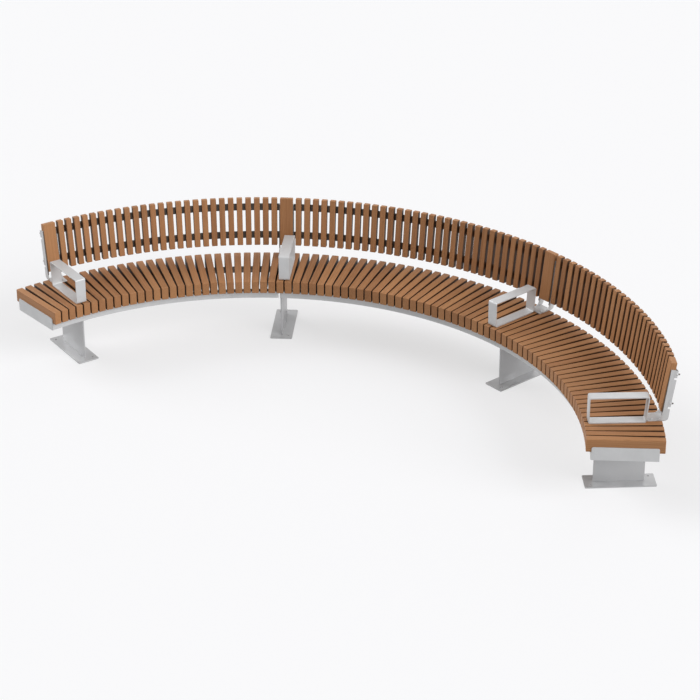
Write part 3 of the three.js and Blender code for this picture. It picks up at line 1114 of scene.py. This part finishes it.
    def _end_plate(self, side: str, angle: float, out: float) -> None:
        """Close one end of the seat with a plate that has rounded top corners.

        Args:
            side: The end's name.
            angle: The angle of its end slat.
            out: 1 at the right end and -1 at the left.
        """
        plan = self.shop.plan
        thick = plan.rail_thickness
        front = self.front_rail_radius + thick + self.end_plate_front_inset
        rear = self.rear_rail_radius + self.end_plate_rear_overlap
        bottom = plan.slat_underside - plan.clearance - self.rail_height - self.end_plate_drop
        top = plan.slat_underside + self.end_plate_rise
        beside = out * (plan.seat_slat_width / 2 + plan.clearance)
        face = outline(
            [
                Vector((beside, front, bottom)),
                Vector((beside, rear, bottom)),
                Vector((beside, rear, top)),
                Vector((beside, front, top)),
            ],
            {self.end_plate_top_corner: [2, 3], self.end_plate_bottom_corner: [0, 1]},
        )
        shape = thicken(face, Vector((out * thick, 0.0, 0.0)))
        self.shop.finish(
            shape,
            f"end_cap_{side}",
            Slot.SATIN_STEEL,
            [f"end_plate_{side}"],
            [plan.station(angle)],
            edge=plan.plate_edge,
        )


@dataclass
class Legs:
    """The four legs: a foot plate with two anchor holes, a blade and the saddle on it."""

    shop: Shop
    foot_width: float = 0.152
    foot_corner: float = 0.008
    foot_corner_segments: int = 4
    foot_edge: float = 0.0009
    hole_radius: float = 0.007
    hole_segments: int = 24
    hole_end_inset: float = 0.038
    hole_side_inset: float = 0.030
    blade_thickness: float = 0.012
    blade_corner: float = 0.004
    blade_edge: float = 0.0006
    saddle_width: float = 0.130
    saddle_thickness: float = 0.006
    saddle_front_radius: float = 2.1093
    saddle_rear_radius: float = 2.5126

    def build(self) -> None:
        """Build every leg."""
        for stand in Stand:
            place = self.shop.plan.station(self.shop.plan.slat_angle(stand.slat))
            self._foot(stand, place)
            self._blade(stand, place)

    def _foot(self, stand: Stand, place: Matrix) -> None:
        """Cut a foot plate and drill its two holes at opposite corners.

        Args:
            stand: The leg.
            place: The matrix from its station's frame to the bench's.
        """
        plan = self.shop.plan
        radius = plan.foot_radius
        x, y = self.foot_width / 2, plan.foot_length / 2
        corners = rectangle(x, radius - y, radius + y, 0.0)
        shape = outline(corners, {self.foot_corner: [0, 1, 2, 3]}, self.foot_corner_segments)
        bmesh.ops.delete(shape, geom=shape.faces[:], context="FACES_ONLY")
        hole_x, hole_y = x - self.hole_side_inset, y - self.hole_end_inset
        for across, along in ((-hole_x, hole_y), (hole_x, -hole_y)):
            bmesh.ops.create_circle(
                shape,
                radius=self.hole_radius,
                segments=self.hole_segments,
                cap_ends=False,
                matrix=Matrix.Translation((across, radius + along, 0.0)),
            )
        bmesh.ops.triangle_fill(
            shape, edges=shape.edges[:], use_beauty=True, use_dissolve=False, normal=(0.0, 0.0, 1.0)
        )
        thicken(shape, Vector((0.0, 0.0, plan.foot_thickness)))
        self.shop.finish(
            shape,
            f"foot_{stand.label}",
            Slot.SATIN_STEEL,
            [f"foot_plate_{stand.label}"],
            [place],
            edge=self.foot_edge,
            # The leg steel's darker base is painted shade.
            dress=self.shop.finishes.leg,
        )

    def _blade(self, stand: Stand, place: Matrix) -> None:
        """Stand a blade on its foot and lay the saddle on top.

        Args:
            stand: The leg.
            place: The matrix from its station's frame to the bench's.
        """
        plan = self.shop.plan
        low = plan.foot_thickness
        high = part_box(f"leg_{stand.label}")[1].z
        under = high - self.saddle_thickness / 2
        x, y = self.blade_thickness / 2, plan.leg_depth / 2
        corners = rectangle(x, plan.leg_radius - y, plan.leg_radius + y, low)
        face = outline(corners, {self.blade_corner: [0, 1, 2, 3]})
        blade = thicken(face, Vector((0.0, 0.0, under - low)))
        length = self.saddle_rear_radius - self.saddle_front_radius
        saddle = block(self.saddle_width, length, self.saddle_thickness)
        middle = Vector((0.0, self.saddle_front_radius + length / 2, under))
        bmesh.ops.translate(saddle, vec=middle, verts=saddle.verts[:])
        self.shop.finish(
            merged(blade, saddle),
            f"blade_{stand.label}",
            Slot.SATIN_STEEL,
            [f"leg_{stand.label}"],
            [place],
            edge=self.blade_edge,
            # The leg steel's darker base is painted shade.
            dress=self.shop.finishes.leg,
        )


@dataclass
class Armrests:
    """The four armrests, each a closed loop bent from flat bar."""

    shop: Shop
    width: float = 0.073
    thickness: float = 0.008
    height: float = 0.178
    front_inset: float = 0.0225
    lean: float = 0.0165
    bend_radius: float = 0.0125
    bend_segments: int = 7
    edge: float = 0.0012

    def build(self) -> None:
        """Build every armrest."""
        plan = self.shop.plan
        for stand in Stand:
            self.shop.finish(
                self._loop(),
                f"arm_loop_{stand.label}",
                Slot.SATIN_STEEL,
                [f"armrest_{stand.label}"],
                [plan.station(plan.slat_angle(stand.arm_slat))],
                edge=self.edge,
            )

    def _loop(self) -> bmesh.types.BMesh:
        """Bend the loop: its outline is inset by the bar's thickness and grown to its width.

        Returns:
            The loop, in its station's frame.
        """
        plan = self.shop.plan
        front = plan.seat_front_radius + self.front_inset
        rear, low = plan.arm_rear_radius, plan.on_seat
        side = -self.width / 2
        shape = outline(
            [
                Vector((side, front, low)),
                Vector((side, rear, low)),
                Vector((side, rear + self.lean, low + self.height)),
                Vector((side, front, low + self.height)),
            ],
            {self.bend_radius: [0, 1, 2, 3]},
            self.bend_segments,
        )
        inside = shape.faces[:]
        bmesh.ops.inset_region(
            shape, faces=inside, thickness=self.thickness, use_even_offset=True, use_boundary=True
        )
        bmesh.ops.delete(shape, geom=inside, context="FACES")
        return thicken(shape, Vector((self.width, 0.0, 0.0)))


@dataclass(frozen=True)
class Hardware:
    """The back's fasteners. Each is turned round Z and bears at z = 0.

    A profile is a list of radius and height, from one end of the axis to the other.
    """

    dome_bolt: Profile = (
        (0.0, -0.088),
        (0.005, -0.088),
        (0.005, 0.0),
        (0.0075, 0.0),
        (0.0075, 0.0012),
        (0.0066, 0.0031),
        (0.0048, 0.0044),
        (0.0031, 0.0049),
        (0.0028, 0.0026),
        (0.0, 0.0026),
    )
    end_nut: Profile = ((0.0, 0.0), (0.0094, 0.0), (0.0098, 0.0006), (0.0098, 0.0104), (0.0, 0.012))
    end_stud: Profile = ((0.0, 0.011), (0.005, 0.011), (0.005, 0.0222), (0.0, 0.023))
    washer: Profile = (
        (0.0, 0.0),
        (0.0194, 0.0),
        (0.02, 0.0006),
        (0.02, 0.0034),
        (0.0192, 0.004),
        (0.0, 0.004),
    )
    bolt_steps: int = 24
    washer_steps: int = 32
    stud_steps: int = 20
    nut_sides: int = 6
    washer_thickness: float = 0.004
    nut_corner_radius: float = 0.0098
    nut_height: float = 0.008
    stud_radius: float = 0.005
    stud_foot: float = 0.011
    stud_top: float = 0.018
    stud_top_radius: float = 0.0042
    thread_root: float = 0.0044
    thread_start: float = 0.0118
    thread_pitch: float = 0.0015
    thread_turns: int = 4

    def clamp_set(self) -> bmesh.types.BMesh:
        """Put a washer, a six-sided nut and a threaded stud end together.

        Returns:
            The clamp set.
        """
        nut = bmesh.new()
        bmesh.ops.create_cone(
            nut,
            cap_ends=True,
            segments=self.nut_sides,
            radius1=self.nut_corner_radius,
            radius2=self.nut_corner_radius,
            depth=self.nut_height,
            matrix=Matrix.Translation((0.0, 0.0, self.washer_thickness + self.nut_height / 2)),
        )
        thread = [(0.0, self.stud_foot)]
        for turn in range(self.thread_turns):
            base = self.thread_start + turn * self.thread_pitch
            thread += [(self.thread_root, base), (self.stud_radius, base + self.thread_pitch / 2)]
        thread += [(self.stud_top_radius, self.stud_top), (0.0, self.stud_top)]
        washer = turned(self.washer, self.washer_steps)
        return merged(washer, nut, turned(thread, self.stud_steps))


@dataclass
class Back:
    """The back: slats and boards on two curved flat rails, held up by folded brackets."""

    shop: Shop
    hardware: Hardware = field(default_factory=Hardware)
    slat_width: float = 0.040
    edge_radius: float = 0.0038
    board_to_slat_gap: float = 0.019
    slats_per_end_bay: int = 26
    slats_per_middle_bay: int = 32
    board_depth: float = 0.0388
    rail_height: float = 0.050
    lower_rail_up: float = 0.041
    upper_rail_up: float = 0.243
    lower_rail_behind: float = 0.0401
    upper_rail_behind: float = 0.0406
    rail_steps: int = 72
    bracket_thickness: float = 0.006
    bracket_corner: float = 0.003
    bracket_front_inset: float = 0.009
    bracket_depth: float = 0.054
    notch_below_rail: float = 0.015
    bracket_top_above_rail: float = 0.001
    bracket_to_arm_gap: float = 0.008
    bracket_elbow_rise: float = 0.024
    bracket_elbow_share: float = 0.92
    bracket_fillet_reach: float = 0.034
    bracket_fillet_rise: float = 0.040
    bracket_fillet_share: float = 0.96
    bracket_bend_segments: int = 8
    notch_behind: float = 0.0385
    bolt_setback: float = 0.066
    strip_thickness: float = 0.002
    strip_edge: float = 0.0005
    # Painted shade on the back timbers' sides where they face the gaps.
    gap_darkness: Span = (0.86, 0.77)
    clamp_edge: float = 0.0004
    end_bolt_beside: float = 0.046
    tab_thickness: float = 0.001
    tab_depth: float = 0.0175
    tab_lap: float = 0.002
    tab_edge: float = 0.0003
    # The outer boards take the palest tone partly as painted light, for the light that falls on the
    # bench's ends.
    board_tints: dict[Stand, float] = field(
        default_factory=lambda: {
            Stand.LEFT_OUTER: 1.0,
            Stand.LEFT_INNER: 0.45,
            Stand.RIGHT_INNER: 0.60,
            Stand.RIGHT_OUTER: 1.0,
        }
    )

    @property
    def rail_places(self) -> dict[str, Span]:
        """How far up the slope and how far behind its front each flat rail's lower edge is."""
        return {
            "lower": (self.lower_rail_up, self.lower_rail_behind),
            "upper": (self.upper_rail_up, self.upper_rail_behind),
        }

    def build(self) -> None:
        """Build every piece of the back."""
        plan = self.shop.plan
        outer = plan.slat_angle(Stand.RIGHT_OUTER.slat)
        inner = plan.slat_angle(Stand.RIGHT_INNER.slat)
        bays = {
            Side.LEFT: (-outer, -inner, self.slats_per_end_bay),
            Side.MIDDLE: (-inner, inner, self.slats_per_middle_bay),
            Side.RIGHT: (inner, outer, self.slats_per_end_bay),
        }
        for side, (start, end, count) in bays.items():
            self._slats(side, start, end, count)
            self._rails(side, start, end)
        for stand in Stand:
            angle = plan.slat_angle(stand.slat)
            self._board(stand, angle)
            self._bracket(stand, angle)
            self._shade_gap_strips(stand, angle)
            self._bolts(stand, angle)
            self._clamps(stand, angle)
        self._rail_ends(Stand.LEFT_OUTER, -1.0)
        self._rail_ends(Stand.RIGHT_OUTER, 1.0)

    def _upright(self, width: float, depth: float) -> tuple[bmesh.types.BMesh, Matrix]:
        """Shape a timber of the back.

        Args:
            width: Its width across the back.
            depth: Its depth.

        Returns:
            The timber and its matrix in the slope's frame.
        """
        length = self.shop.plan.back_slat_length
        shape = timber(length, width, depth, self.edge_radius)
        return shape, Matrix.Translation((0.0, depth / 2, length / 2)) @ ON_END

    def _slats(self, side: Side, start: float, end: float, count: int) -> None:
        """Stand one bay's slats between its boards.

        Args:
            side: The bay.
            start: The angle of the board at its left.
            end: The angle of the board at its right.
            count: The number of its slats.
        """
        plan = self.shop.plan
        from_board = plan.board_width / 2 + self.board_to_slat_gap + self.slat_width / 2
        first = from_board / plan.back_foot_radius
        angles = np.linspace(start + first, end - first, count)
        shape, own = self._upright(self.slat_width, plan.back_slat_depth)
        self.shop.finish(
            shape,
            f"back_timbers_{side.value}",
            Slot.TIMBER,
            [f"back_slats_{side.value}"],
            [plan.slope(float(angle)) @ own for angle in angles],
            gap=self.gap_darkness,
        )

    def _board(self, stand: Stand, angle: float) -> None:
        """Stand one wide board over a leg.

        Args:
            stand: The leg.
            angle: Its angle.
        """
        shape, own = self._upright(self.shop.plan.board_width, self.board_depth)
        self.shop.finish(
            shape,
            f"wide_board_{stand.label}",
            Slot.TIMBER,
            [f"back_board_{stand.label}"],
            [self.shop.plan.slope(angle) @ own],
            tint=self.board_tints[stand],
        )

    def _rails(self, side: Side, start: float, end: float) -> None:
        """Bend a bay's two flat rails. The outermost end flush with the brackets.

        Args:
            side: The bay.
            start: The angle of the board at its left.
            end: The angle of the board at its right.
        """
        plan = self.shop.plan
        past = plan.board_width / 2 + self.bracket_thickness
        before = past if side is Side.LEFT else -plan.clearance
        beyond = past if side is Side.RIGHT else -plan.clearance
        nodes = {"lower": "back_slats", "upper": "upper_back_rail"}
        for level, (up, behind) in self.rail_places.items():
            corners = [
                plan.on_slope(up, behind),
                plan.on_slope(up, behind + plan.rail_thickness),
                plan.on_slope(up + self.rail_height, behind + plan.rail_thickness),
                plan.on_slope(up + self.rail_height, behind),
            ]
            section = outline(corners, {plan.rail_edge: [0, 1, 2, 3]}, NARROW_SEGMENTS)
            radius = corners[2].y
            # The flat rails take the dark steel as painted shade, for the shade they stand in
            # behind the slats.
            self.shop.finish(
                swept(section, start - before / radius, end + beyond / radius, self.rail_steps),
                f"{level}_flat_{side.value}",
                Slot.DARK_STEEL,
                [f"{nodes[level]}_{side.value}"],
                [Matrix.Translation(plan.centre())],
            )

    def _bracket(self, stand: Stand, angle: float) -> None:
        """Fold a bracket: a foot on the seat and a side at each edge of the board.

        Args:
            stand: The leg that the bracket stands over.
            angle: Its angle.
        """
        plan = self.shop.plan
        inner = plan.board_width / 2 + plan.clearance
        front = plan.arm_rear_radius + self.bracket_to_arm_gap
        elbow = plan.on_slope(self.bracket_elbow_rise - plan.back_rise, self.bracket_depth)
        rear = elbow.y - self.bracket_elbow_rise
        half = inner + self.bracket_thickness
        corners = rectangle(half, front, rear, plan.on_seat)
        foot = outline(corners, {self.bracket_corner: [0, 1]}, NARROW_SEGMENTS)
        thicken(foot, Vector((0.0, 0.0, self.bracket_thickness)))
        sides = [self._bracket_side(x, elbow) for x in (-half, inner)]
        self.shop.finish(
            merged(foot, *sides),
            f"bracket_{stand.label}",
            Slot.SATIN_STEEL,
            [f"back_bracket_{stand.label}"],
            [plan.station(angle)],
            edge=plan.plate_edge,
        )

    def _bracket_side(self, x: float, elbow: Vector) -> bmesh.types.BMesh:
        """Cut one side of a bracket: it rises behind the seat and is notched for the rails.

        Args:
            x: The place of its left face.
            elbow: The point at which the side's rear edge begins.

        Returns:
            The side.
        """
        plan = self.shop.plan
        low = plan.on_seat
        top = self.upper_rail_up + self.rail_height + self.bracket_top_above_rail
        fillet = plan.on_slope(self.bracket_fillet_rise - plan.back_rise, self.bracket_front_inset)
        deep, notch = self.bracket_depth, self.notch_behind
        lower = self.lower_rail_up - self.notch_below_rail
        lower_end = self.lower_rail_up + self.rail_height + plan.clearance
        upper = self.upper_rail_up - self.notch_below_rail
        corners = [
            Vector((0.0, fillet.y - self.bracket_fillet_reach, low)),
            Vector((0.0, elbow.y, low)),
            plan.on_slope(lower, deep),
            plan.on_slope(lower, notch),
            plan.on_slope(lower_end, notch),
            plan.on_slope(lower_end, deep),
            plan.on_slope(upper, deep),
            plan.on_slope(upper, notch),
            plan.on_slope(top, notch),
            plan.on_slope(top, self.bracket_front_inset),
            Vector((0.0, fillet.y, low + self.bracket_thickness)),
            Vector((0.0, fillet.y - self.bracket_fillet_reach, low + self.bracket_thickness)),
        ]
        elbow_radius = self.bracket_elbow_rise * self.bracket_elbow_share
        fillet_radius = self.bracket_fillet_reach * self.bracket_fillet_share
        rounded = {elbow_radius: [1], fillet_radius: [10]}
        shape = outline(corners, rounded, self.bracket_bend_segments)
        bmesh.ops.translate(shape, vec=(x, 0.0, 0.0), verts=shape.verts[:])
        return thicken(shape, Vector((self.bracket_thickness, 0.0, 0.0)))

    def _shade_gap_strips(self, stand: Stand, angle: float) -> None:
        """Lay a thin dark strip along the front edge of each side of a bracket: painted shade for
        the narrow gap between board and bracket.

        Args:
            stand: The leg that the bracket stands over.
            angle: Its angle.
        """
        plan = self.shop.plan
        low = self.bracket_fillet_rise - plan.back_rise
        high = self.upper_rail_up + self.rail_height
        beside = plan.board_width / 2 + plan.clearance + self.bracket_thickness / 2
        behind = self.bracket_front_inset - self.strip_thickness / 2
        shape = timber(high - low, self.bracket_thickness, self.strip_thickness, self.strip_edge)
        places = [
            plan.slope(angle) @ Matrix.Translation((x, behind, (low + high) / 2)) @ ON_END
            for x in (-beside, beside)
        ]
        # Painted shade: a dark strip where there is only the shadow of the gap between board and
        # bracket.
        self.shop.finish(shape, f"edge_strips_{stand.label}", Slot.DARK_STEEL, [], places)

    def _bolts(self, stand: Stand, angle: float) -> None:
        """Turn the two dome-headed bolts that hold a bracket down.

        Args:
            stand: The leg that the bracket stands over.
            angle: Its angle.
        """
        plan = self.shop.plan
        radius = plan.seat_rear_radius - self.bolt_setback
        beside = plan.pitch_angle / 2 * radius
        for side, x in (("a", -beside), ("b", beside)):
            shape = turned(self.hardware.dome_bolt, self.hardware.bolt_steps)
            place = (x, radius, plan.on_seat + self.bracket_thickness)
            bmesh.ops.translate(shape, vec=place, verts=shape.verts[:])
            self.shop.finish(
                shape,
                f"dome_bolt_{stand.label}_{side}",
                Slot.SATIN_STEEL,
                [f"bracket_bolt_{stand.label}_{side}"],
                [plan.station(angle)],
            )

    def _rail_ends(self, stand: Stand, out: float) -> None:
        """Close the rails' outer ends with thin bright tabs, a lit copy of their steel, and bolt
        them beside the bracket.

        Args:
            stand: The bench's outermost leg on this side.
            out: 1 at the right end and -1 at the left.
        """
        plan = self.shop.plan
        slope = plan.slope(plan.slat_angle(stand.slat))
        edge = plan.board_width / 2 + plan.clearance + self.bracket_thickness
        beside = out * (edge + self.tab_thickness / 2)
        behind = self.notch_behind - self.tab_lap + self.tab_depth / 2
        tabs = [
            slope @ Matrix.Translation((beside, behind, up + self.rail_height / 2)) @ ON_END
            for up, _ in self.rail_places.values()
        ]
        bolts = [
            slope @ self._behind_rail(level, out * self.end_bolt_beside)
            for level in self.rail_places
        ]
        tab = timber(self.rail_height, self.tab_thickness, self.tab_depth, self.tab_edge)
        nut = turned(self.hardware.end_nut, self.hardware.nut_sides)
        stud = turned(self.hardware.end_stud, self.hardware.stud_steps)
        # Lit and shaded copies of one steel: the tabs show the satin steel at the rails' ends,
        # which stand in the light, while the rails take the dark steel as painted shade.
        self.shop.finish(tab, f"rail_tabs_{stand.label}", Slot.SATIN_STEEL, [], tabs)
        self.shop.finish(nut, f"end_nuts_{stand.label}", Slot.SATIN_STEEL, [], bolts)
        self.shop.finish(stud, f"end_studs_{stand.label}", Slot.DARK_STEEL, [], bolts)

    def _behind_rail(self, level: str, beside: float) -> Matrix:
        """Place a fastener on the rear face of a flat rail.

        Args:
            level: The rail.
            beside: Its distance to the right of the board's middle.

        Returns:
            The matrix from the fastener's frame to the slope's.
        """
        up, behind = self.rail_places[level]
        rear = behind + self.shop.plan.rail_thickness
        return Matrix.Translation((beside, rear, up + self.rail_height / 2)) @ POINTING_BACK

    def _clamps(self, stand: Stand, angle: float) -> None:
        """Clamp each rail from behind.

        Args:
            stand: The leg that the rails pass over.
            angle: Its angle.
        """
        for level in self.rail_places:
            self.shop.finish(
                self.hardware.clamp_set(),
                f"clamp_set_{stand.label}_{level}",
                Slot.DARK_STEEL,
                [f"rail_clamp_{stand.label}_{level}"],
                [self.shop.plan.slope(angle) @ self._behind_rail(level, 0.0)],
                edge=self.clamp_edge,
            )


@dataclass(frozen=True)
class SoftLight:
    """One broad, far light, at a height above the horizon and a bearing from +X towards +Y."""

    name: str
    strength: float
    height: float
    bearing: float
    spread: float = math.radians(40.0)

    def hang(self) -> None:
        """Hang the light so that it shines from its height and bearing."""
        light = bpy.data.lights.new(self.name, "SUN")
        light.energy = self.strength
        light.angle = self.spread
        lamp = bring_in(self.name, light)
        level = math.cos(self.height)
        towards = Vector(
            (level * math.cos(self.bearing), level * math.sin(self.bearing), math.sin(self.height))
        )
        lamp.rotation_euler = towards.to_track_quat("Z", "Y").to_euler()


@dataclass
class Studio:
    """A pale floor, soft lights under an even sky, and the camera."""

    plan: Plan
    floor_size: float = 160.0
    floor_squares: int = 4
    floor_colour: Colour = (0.925, 0.925, 0.955)
    floor_bounce: float = 0.55
    floor_glow: float = 0.95
    shadow_share: float = 0.38
    sky_strength: float = 0.30
    backdrop: float = 0.95
    lights: tuple[SoftLight, ...] = (
        SoftLight("right_side", 1.92, math.radians(30.0), math.radians(0.0)),
        SoftLight("left_side", 1.60, math.radians(30.0), math.radians(180.0)),
        SoftLight("front_right", 0.53, math.radians(30.0), math.radians(315.0)),
        SoftLight("behind", 0.24, math.radians(30.0), math.radians(90.0)),
        SoftLight("high_left", 0.20, math.radians(60.0), math.radians(180.0)),
    )
    camera_from_centre: Vector = field(default_factory=lambda: Vector((6.3073, -10.9050, 7.4346)))
    camera_heading: float = math.radians(27.1185)
    camera_dip: float = 0.473907
    camera_roll: float = -0.00322
    lens: float = 121.27
    sensor: float = 36.0
    camera_reach: float = 200.0

    def build(self) -> None:
        """Build the studio."""
        self._floor()
        self._sky()
        for light in self.lights:
            light.hang()
        self._camera()

    def _floor(self) -> None:
        """Lay the floor that the bench stands on."""
        shape = bmesh.new()
        squares = self.floor_squares
        bmesh.ops.create_grid(
            shape, x_segments=squares, y_segments=squares, size=self.floor_size / 2
        )
        mesh = bpy.data.meshes.new("floor")
        shape.to_mesh(mesh)
        shape.free()
        mesh.materials.append(self._floor_finish())
        bring_in("floor", mesh)

    def _floor_finish(self) -> bpy.types.Material:
        """Make a floor that looks nearly white to the camera and in gloss, and keeps its shadow.

        Returns:
            The floor's material.
        """
        board = NodeBoard(bpy.data.materials.new("pale_floor"))
        glow = board.add("Emission", Strength=self.floor_glow * (1.0 - self.shadow_share))
        shade = tuple(part * self.shadow_share for part in self.floor_colour)
        shaded = board.add("BsdfDiffuse", Color=(*shade, 1.0))
        shown = board.add("AddShader")
        board.link(glow.outputs[0], shown.inputs[0])
        board.link(shaded.outputs[0], shown.inputs[1])
        plain = board.add("BsdfDiffuse", Color=(*[self.floor_bounce] * 3, 1.0))
        either = board.add("MixShader")
        board.link(board.seen(), either.inputs[0])
        board.link(plain.outputs[0], either.inputs[1])
        board.link(shown.outputs[0], either.inputs[2])
        return board.close(either)

    def _sky(self) -> None:
        """Light evenly from all round, with a paler backdrop for the camera and for gloss."""
        board = NodeBoard(bpy.data.worlds.new("even_sky"))
        strength = board.spread(board.seen(), WHOLE_SPAN, (self.sky_strength, self.backdrop))
        background = board.add("Background", Color=(1.0, 1.0, 1.0, 1.0))
        board.link(strength, background.inputs["Strength"])
        bpy.context.scene.world = board.close(background)

    def _camera(self) -> None:
        """Stand the camera where the bench was seen from."""
        data = bpy.data.cameras.new("camera")
        data.lens = self.lens
        data.sensor_width = self.sensor
        data.clip_end = self.camera_reach
        camera = bring_in("camera", data)
        forward = Vector(
            (
                -math.sin(self.camera_heading) * math.cos(self.camera_dip),
                math.cos(self.camera_heading) * math.cos(self.camera_dip),
                -math.sin(self.camera_dip),
            )
        )
        level = Vector((math.cos(self.camera_heading), math.sin(self.camera_heading), 0.0))
        upright = level.cross(forward)
        right = level * math.cos(self.camera_roll) + upright * math.sin(self.camera_roll)
        up = upright * math.cos(self.camera_roll) - level * math.sin(self.camera_roll)
        turn = Matrix((right, up, -forward)).transposed().to_4x4()
        place = self.plan.centre() + self.camera_from_centre
        camera.matrix_world = Matrix.Translation(place) @ turn
        bpy.context.scene.camera = camera


def main() -> None:
    """Build the bench and its studio."""
    logging.basicConfig(level=logging.INFO, format="%(name)s: %(message)s")
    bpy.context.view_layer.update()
    plan = Plan()
    shop = Shop(plan, Finishes())
    Studio(plan).build()
    for assembly in (Seat(shop), Legs(shop), Armrests(shop), Back(shop)):
        assembly.build()
        LOG.info("%s built", type(assembly).__name__)
    bpy.context.scene.view_settings.view_transform = "Standard"


if __name__ == "__main__":
    main()
